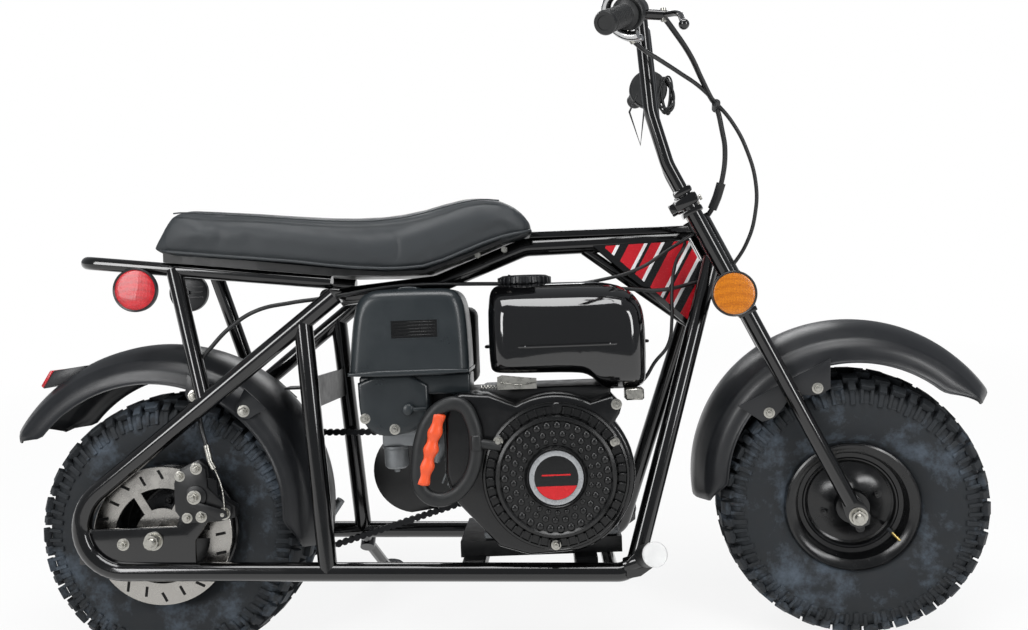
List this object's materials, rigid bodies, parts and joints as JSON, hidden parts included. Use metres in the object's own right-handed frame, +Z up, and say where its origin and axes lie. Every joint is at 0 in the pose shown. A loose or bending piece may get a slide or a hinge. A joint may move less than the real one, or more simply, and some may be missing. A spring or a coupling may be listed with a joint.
{
  "type": "minibike",
  "caption": "Black minibike with knobbly tyres, high handlebar, black fenders, a side-pull small engine and chain drive, leaning on its side stand.",
  "frame": {"origin": "middle of the parked bike's box on the floor, under the engine", "axes": "+X forward, +Y to the rider's left, +Z up from the floor; the bike itself leans about 10 degrees to its left on its stand"},
  "size_m": [1.7812, 0.7948, 1.1838],
  "materials": {
    "amber_lens": "gloss",
    "black_paint": "gloss paint",
    "black_plastic": "satin",
    "cast_alloy": "as cast",
    "chain_steel": "oiled",
    "chrome": "polished",
    "disc_steel": "brushed",
    "grip_rubber": "matt",
    "red_lens": "gloss",
    "seat_vinyl": "matt vinyl",
    "tank_paint": "gloss paint",
    "tyre_rubber": "matt",
    "zinc_steel": "zinc plated"
  },
  "bodies": {
    "frame": {"air_cleaner": "black_plastic", "backbone": "black_paint", "brake_caliper": "cast_alloy", "carburettor": "cast_alloy", "chain": "chain_steel", "chain_guard": "black_plastic", "clutch": "chain_steel", "cross_plate": "black_paint", "engine_block": "cast_alloy", "engine_deck": "black_paint", "engine_shroud": "black_plastic", "foot_peg_left": "chrome", "foot_peg_right": "chrome", "frame_side_left": "black_paint", "frame_side_right": "black_paint", "fuel_cap": "black_plastic", "fuel_tank": "tank_paint", "head_tube": "black_paint", "muffler": "black_paint", "peg_cross_tube": "black_paint", "pull_handle": "grip_rubber", "rack": "black_paint", "rear_axle": "zinc_steel", "rear_fender": "black_plastic", "rear_reflector_left": "red_lens", "rear_reflector_right": "red_lens", "recoil_cover": "black_plastic", "seat_cushion": "seat_vinyl", "seat_pan": "black_plastic", "tail_lamp": "red_lens"},
    "steering": {"fork_leg_left": "black_paint", "fork_leg_right": "black_paint", "front_axle": "zinc_steel", "front_fender": "black_plastic", "front_reflector_left": "amber_lens", "front_reflector_right": "amber_lens", "grip_left": "grip_rubber", "grip_right": "grip_rubber", "handlebar_left": "black_paint", "handlebar_right": "black_paint", "lever_right": "chrome", "lower_crown": "black_paint", "steering_stem": "zinc_steel", "switch_housing": "black_plastic", "upper_crown": "black_paint"},
    "front_wheel": {"front_rim": "black_paint", "front_tyre": "tyre_rubber"},
    "rear_wheel": {"brake_disc": "disc_steel", "rear_rim": "black_paint", "rear_sprocket": "chain_steel", "rear_tyre": "tyre_rubber"},
    "side_stand": {"side_stand": "zinc_steel"}
  },
  "joints": [
    {"name": "steering", "type": "hinge", "parent": "frame", "child": "steering", "pos_m": [0.64121, -0.1265, 0.24109], "axis": [-0.4449, 0.1555, 0.8819], "range_deg": [-25, 45]},
    {"name": "front_wheel_spin", "type": "hinge", "parent": "steering", "child": "front_wheel", "pos_m": [0.64121, -0.1265, 0.24109], "axis": [0.1556, 0.9833, -0.0949], "continuous": true},
    {"name": "rear_wheel_spin", "type": "hinge", "parent": "frame", "child": "rear_wheel", "pos_m": [-0.58679, -0.1265, 0.24066], "axis": [0.0001, 0.9848, -0.1736], "continuous": true},
    {"name": "side_stand", "type": "hinge", "parent": "frame", "child": "side_stand", "pos_m": [-0.29374, 0.03815, 0.10917], "axis": [-0.0002, 0.7986, 0.6019], "range_deg": [0, 85]}
  ]
}
